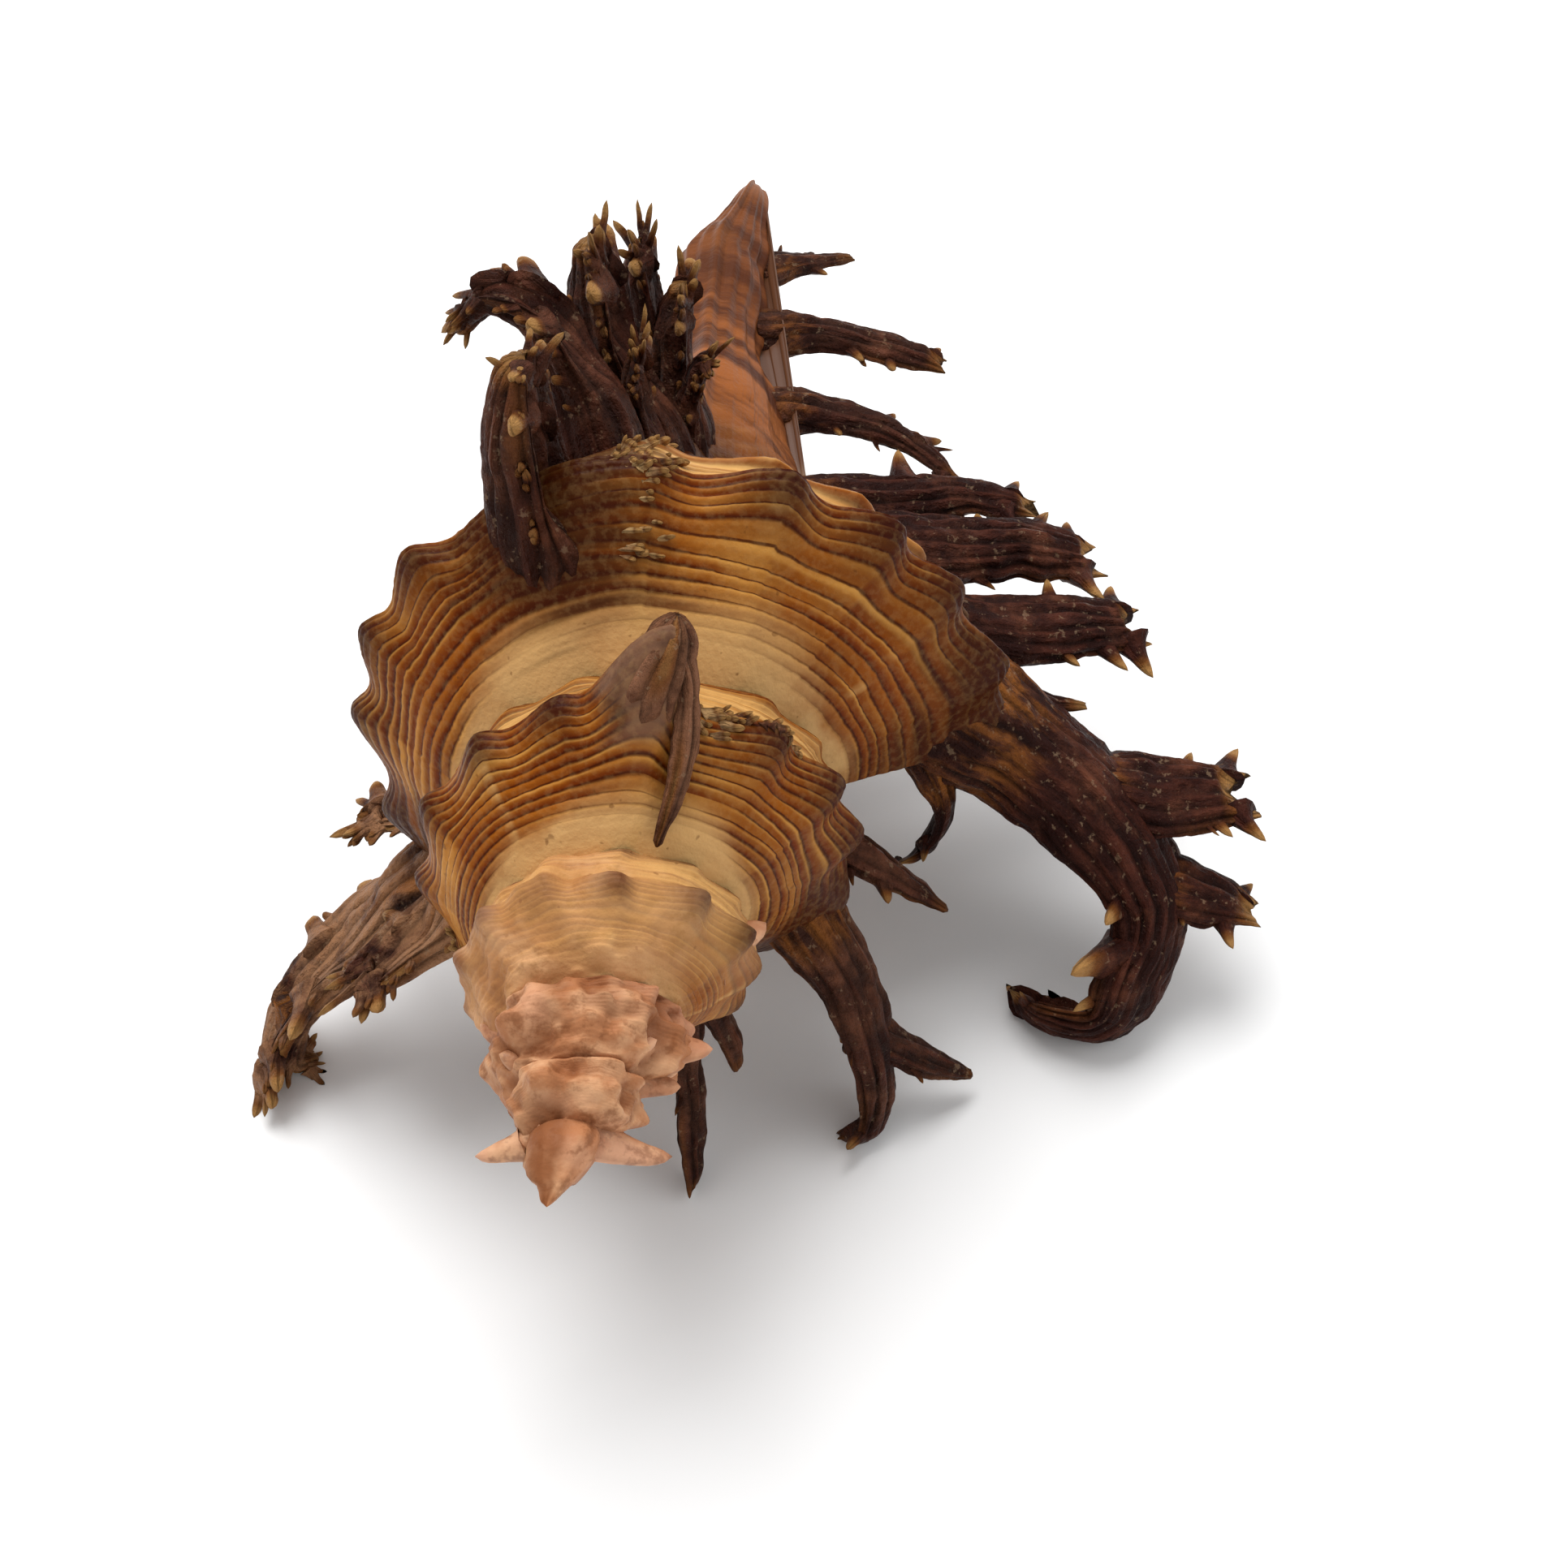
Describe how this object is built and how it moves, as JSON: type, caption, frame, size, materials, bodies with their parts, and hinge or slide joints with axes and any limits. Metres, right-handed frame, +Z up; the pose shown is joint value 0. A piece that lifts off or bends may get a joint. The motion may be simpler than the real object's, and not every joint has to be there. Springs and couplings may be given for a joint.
{
  "type": "murex shell",
  "caption": "Spiny murex sea shell with branched fronds, knobbed whorls and a long canal, lying on its frond tips, aperture down.",
  "frame": {"origin": "middle of the bounding box, on the floor that the frond tips rest on", "axes": "+Y along the coiling axis from the apex to the end of the canal, +Z up, aperture facing down"},
  "size_m": [0.065, 0.0934, 0.0476],
  "materials": {
    "shell_lime": "satin"
  },
  "bodies": {
    "root": {"murex_shell": "shell_lime"}
  },
  "joints": []
}
